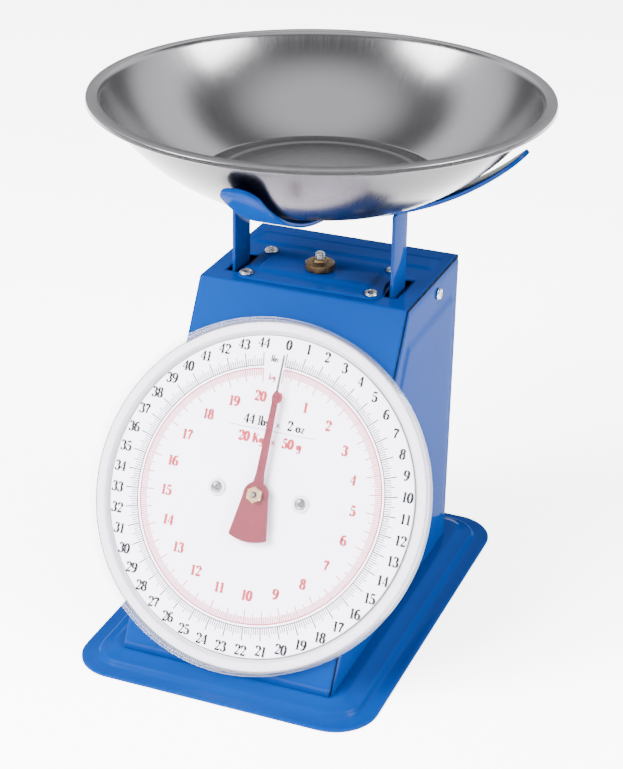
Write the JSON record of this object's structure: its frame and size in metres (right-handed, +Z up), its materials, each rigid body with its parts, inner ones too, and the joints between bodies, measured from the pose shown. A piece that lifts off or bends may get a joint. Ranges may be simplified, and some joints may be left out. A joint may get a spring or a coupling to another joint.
{
  "type": "dial spring scale",
  "caption": "Bench-top mechanical dial scale: sloped painted case on a pressed base, round dial under a clear cap, two posts carrying crossed arms and a wide round pan.",
  "frame": {"origin": "on the bench, under the middle of the base", "axes": "+X to the right as seen from the dial, +Y to the back, +Z up"},
  "size_m": [0.2654, 0.2897, 0.3134],
  "materials": {
    "blue_paint": "gloss enamel",
    "stainless": "spun and brushed",
    "zinc_steel": "bright zinc plate",
    "brass": "machined",
    "spring_steel": "oiled wire",
    "white_enamel": "satin enamel, printed",
    "pointer_red": "satin enamel",
    "clear_plastic": "clear moulded plastic, gloss"
  },
  "bodies": {
    "case": {"base_plate": "blue_paint", "case_wrap": "blue_paint", "side_panel_left": "blue_paint", "side_panel_right": "blue_paint", "side_screw_left": "zinc_steel", "side_screw_right": "zinc_steel", "cover_plate": "blue_paint", "cover_screw_1": "zinc_steel", "cover_screw_2": "zinc_steel", "cover_screw_3": "zinc_steel", "cover_screw_4": "zinc_steel", "chassis": "zinc_steel", "chassis_screw_left": "zinc_steel", "chassis_screw_right": "zinc_steel", "bearing_bracket": "zinc_steel", "front_bush": "brass", "rear_bush": "brass", "dial_pan": "white_enamel", "dial_plate": "white_enamel", "dial_screw_left": "white_enamel", "dial_screw_right": "white_enamel", "lens_cap": "clear_plastic", "upper_rear_pin": "zinc_steel", "lower_rear_pin": "zinc_steel", "spring_left": "spring_steel", "spring_right": "spring_steel"},
    "hanger": {"zero_stud": "zinc_steel", "spring_hanger": "zinc_steel"},
    "zero_nut": {"zero_nut": "brass"},
    "carriage": {"post_left": "blue_paint", "post_right": "blue_paint", "carrier_arm_cross": "blue_paint", "carrier_arm_front_back": "blue_paint", "carrier_rivet": "zinc_steel", "load_crossbar": "zinc_steel", "rack_arm": "zinc_steel", "rack": "zinc_steel", "upper_front_pin_left": "zinc_steel", "upper_front_pin_right": "zinc_steel", "lower_front_pin_left": "zinc_steel", "lower_front_pin_right": "zinc_steel"},
    "upper_link": {"upper_link": "zinc_steel"},
    "lower_link": {"lower_link": "zinc_steel"},
    "pointer": {"pointer": "pointer_red", "pointer_nut": "brass", "pointer_shaft": "zinc_steel", "pinion": "brass"},
    "pan": {"pan": "stainless"}
  },
  "joints": [
    {"name": "load_travel", "type": "slide", "parent": "case", "child": "carriage", "axis": [0, 0, -1], "range_m": [0, 0.02116], "stiffness_N_per_m": 9272, "springref_m": -0.0018, "deforming": ["spring_left", "spring_right"]},
    {"name": "pointer_turn", "type": "hinge", "parent": "case", "child": "pointer", "pos_m": [0, -0.05776, 0.09747], "axis": [0, 0.8661, -0.4999], "range_deg": [-1, 352]},
    {"name": "upper_link_swing", "type": "hinge", "parent": "case", "child": "upper_link", "pos_m": [0, 0.074, 0.13942], "axis": [1, 0, 0], "range_deg": [-1, 26.9]},
    {"name": "lower_link_swing", "type": "hinge", "parent": "case", "child": "lower_link", "pos_m": [0, 0.074, 0.06428], "axis": [1, 0, 0], "range_deg": [-1, 26.9]},
    {"name": "zero_turn", "type": "hinge", "parent": "case", "child": "zero_nut", "pos_m": [0, 0.0305, 0.2043], "axis": [0, 0, 1], "range_deg": [-181, 181]},
    {"name": "hanger_lift", "type": "slide", "parent": "case", "child": "hanger", "axis": [0, 0, 1], "range_m": [-0.0005, 0.0005]},
    {"name": "pan_lift", "type": "slide", "parent": "carriage", "child": "pan", "axis": [0, 0, 1], "range_m": [0, 0.07]}
  ],
  "couplings": [
    {"joint": "pointer_turn", "follows": "load_travel", "rad_per_m": 288.69},
    {"joint": "upper_link_swing", "follows": "load_travel", "rad_per_m": 21.367},
    {"joint": "lower_link_swing", "follows": "load_travel", "rad_per_m": 21.367},
    {"joint": "zero_turn", "follows": "hanger_lift", "rad_per_m": -6283.2}
  ]
}
